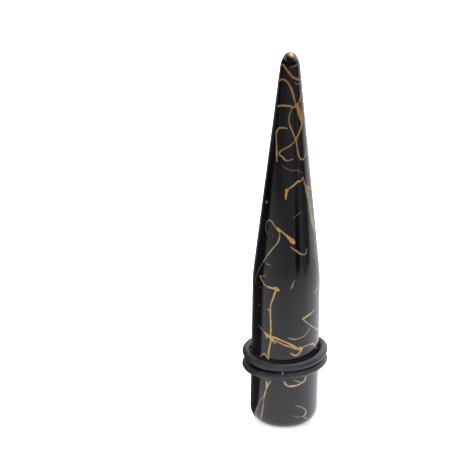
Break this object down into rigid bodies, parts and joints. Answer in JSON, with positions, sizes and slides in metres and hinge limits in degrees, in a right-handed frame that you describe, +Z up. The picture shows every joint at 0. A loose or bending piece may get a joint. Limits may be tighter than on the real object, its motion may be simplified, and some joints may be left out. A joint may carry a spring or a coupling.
{
  "type": "ear stretching taper",
  "caption": "Smooth round spike with a straight shaft, a flat foot and a rounded tip, held by rubber O-rings, for stretching a pierced ear.",
  "frame": {"origin": "centre of the foot's flat face, on the surface that the taper stands on", "axes": "+Z up along the taper towards its tip, -Y towards the side that the picture shows, +X to that side's right"},
  "size_m": [0.0128, 0.0128, 0.0584],
  "materials": {
    "taper": "polished black acrylic with thin gold drizzle",
    "o_ring": "matt black rubber"
  },
  "bodies": {
    "root": {"taper": "taper", "upper_o_ring": "o_ring", "lower_o_ring": "o_ring"}
  },
  "joints": []
}
